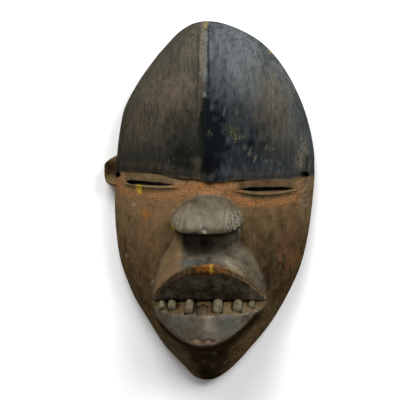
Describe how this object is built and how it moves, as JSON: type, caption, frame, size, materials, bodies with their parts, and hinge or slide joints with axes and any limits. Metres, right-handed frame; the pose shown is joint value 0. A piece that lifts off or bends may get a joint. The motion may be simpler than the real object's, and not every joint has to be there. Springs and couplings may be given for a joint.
{
  "type": "dan mask",
  "caption": "Carved wooden face mask with a domed forehead, slit eyes, block nose, pouting mouth with peg teeth, an ear lug and a hollow back, lying face up on its rim.",
  "frame": {"origin": "centre of the bounding box on the plane of the flat rim that the mask lies on", "axes": "+Y from the chin to the crown, +X to the right as one looks at the face, +Z out of the face"},
  "size_m": [0.1495, 0.255, 0.086],
  "materials": {
    "mask_wood": "worn dark patina",
    "peg_wood": "bare, dull"
  },
  "bodies": {
    "root": {"mask": "mask_wood", "tooth_1": "peg_wood", "tooth_2": "peg_wood", "tooth_3": "peg_wood", "tooth_4": "peg_wood", "tooth_5": "peg_wood", "tooth_6": "peg_wood"}
  },
  "joints": []
}
